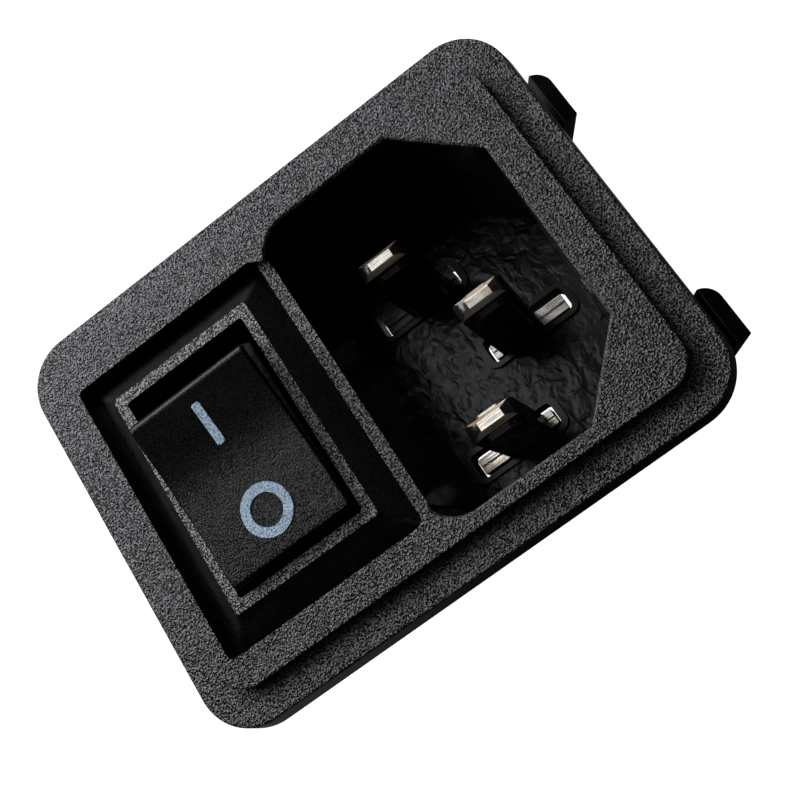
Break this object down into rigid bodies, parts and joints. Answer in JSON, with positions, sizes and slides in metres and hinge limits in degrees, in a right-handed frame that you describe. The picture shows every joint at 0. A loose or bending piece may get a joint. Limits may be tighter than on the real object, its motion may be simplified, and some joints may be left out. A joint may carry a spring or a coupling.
{
  "type": "appliance inlet with rocker switch",
  "caption": "Panel-mount appliance power inlet with a flanged snap-in housing, earthed pin cavity and a rocker power switch.",
  "frame": {"origin": "centre of the flange's rear face, which is the panel's front face", "axes": "+Z out of the face towards the user; +X along the flange from the switch to the inlet; +Y towards the rocker's on side"},
  "size_m": [0.0452, 0.0316, 0.0314],
  "materials": {
    "housing_plastic": "black moulding, coarse spark-eroded grain outside",
    "switch_plastic": "black moulding, fine grain on the bezel's flat frame",
    "rocker_plastic": "black moulding with a pebbled grain",
    "white_ink": "pale blue-white print",
    "nickel_plate": "nickel-plated brass, stamped",
    "plunger_plastic": "natural nylon",
    "spring_steel": "bright drawn wire",
    "copper_alloy": "rolled copper alloy",
    "plated_brass": "silver-plated brass strip",
    "contact_silver": "silver alloy button"
  },
  "bodies": {
    "base": {"housing": "housing_plastic", "line_terminal": "nickel_plate", "neutral_terminal": "nickel_plate", "earth_terminal": "nickel_plate", "switch_case": "switch_plastic", "switch_base": "switch_plastic", "pivot_terminal_a": "plated_brass", "switched_terminal_a": "plated_brass", "fixed_contact_a": "contact_silver", "pivot_terminal_b": "plated_brass", "switched_terminal_b": "plated_brass", "fixed_contact_b": "contact_silver"},
    "rocker": {"rocker": "rocker_plastic", "on_mark": "white_ink", "off_mark": "white_ink", "plunger_spring_a": "spring_steel", "plunger_spring_b": "spring_steel"},
    "plunger_a": {"plunger_a": "plunger_plastic"},
    "contact_arm_a": {"contact_arm_a": "copper_alloy", "arm_contact_a": "contact_silver"},
    "plunger_b": {"plunger_b": "plunger_plastic"},
    "contact_arm_b": {"contact_arm_b": "copper_alloy", "arm_contact_b": "contact_silver"}
  },
  "joints": [
    {"name": "rocker_hinge", "type": "hinge", "parent": "base", "child": "rocker", "pos_m": [-0.00925, 0, -0.0023], "axis": [1, 0, 0], "range_deg": [-18, 0]},
    {"name": "plunger_slide_a", "type": "slide", "parent": "rocker", "child": "plunger_a", "axis": [0, -0.1564, 0.9877], "range_m": [0, 0.0008], "stiffness_N_per_m": 300, "springref_m": -0.003, "deforming": ["plunger_spring_a"]},
    {"name": "contact_arm_hinge_a", "type": "hinge", "parent": "base", "child": "contact_arm_a", "pos_m": [-0.0117, 0, -0.0093], "axis": [1, 0, 0], "range_deg": [0, 14]},
    {"name": "plunger_slide_b", "type": "slide", "parent": "rocker", "child": "plunger_b", "axis": [0, -0.1564, 0.9877], "range_m": [0, 0.0008], "stiffness_N_per_m": 300, "springref_m": -0.003, "deforming": ["plunger_spring_b"]},
    {"name": "contact_arm_hinge_b", "type": "hinge", "parent": "base", "child": "contact_arm_b", "pos_m": [-0.0068, 0, -0.0093], "axis": [1, 0, 0], "range_deg": [0, 14]}
  ],
  "couplings": [
    {"joint": "contact_arm_hinge_a", "follows": "rocker_hinge", "ratio": -0.77778},
    {"joint": "contact_arm_hinge_b", "follows": "rocker_hinge", "ratio": -0.77778}
  ]
}
